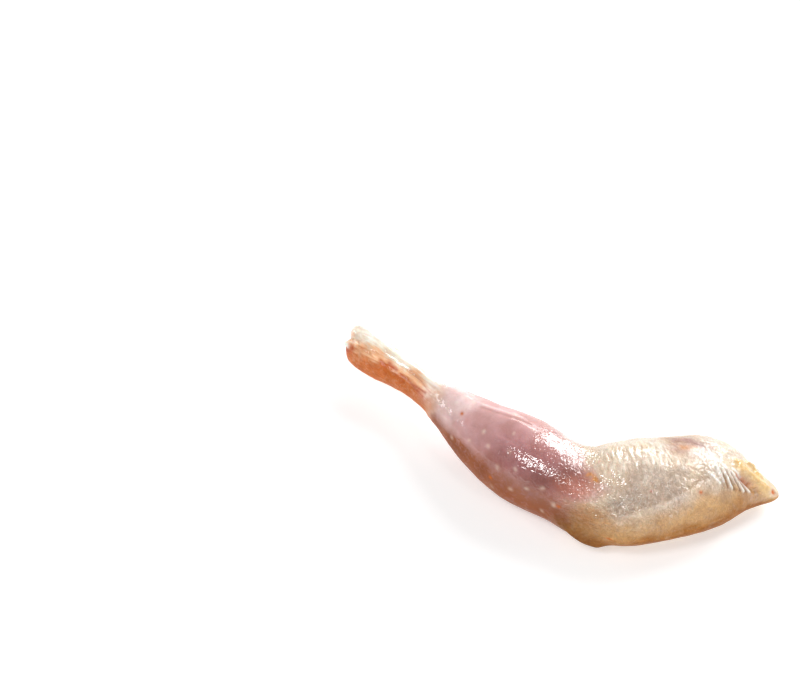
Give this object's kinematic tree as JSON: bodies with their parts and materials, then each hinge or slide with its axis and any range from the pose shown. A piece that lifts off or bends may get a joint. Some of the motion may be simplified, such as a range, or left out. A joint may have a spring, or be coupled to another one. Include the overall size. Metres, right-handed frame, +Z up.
{
  "type": "quail leg",
  "caption": "Raw skin-on quail leg, drumstick and thigh in one piece, lying on its side with its skin side up.",
  "frame": {"origin": "middle of the leg's bounding box, on the surface it lies on", "axes": "+Z up from that surface; +X from the cut hock towards the hip end, along the leg's longest extent; +Y to the inner side of the bent knee"},
  "size_m": [0.0862, 0.0518, 0.0163],
  "materials": {
    "raw_skin": "wet, semi-gloss, pink to cream"
  },
  "bodies": {
    "root": {"quail_leg": "raw_skin"}
  },
  "joints": []
}
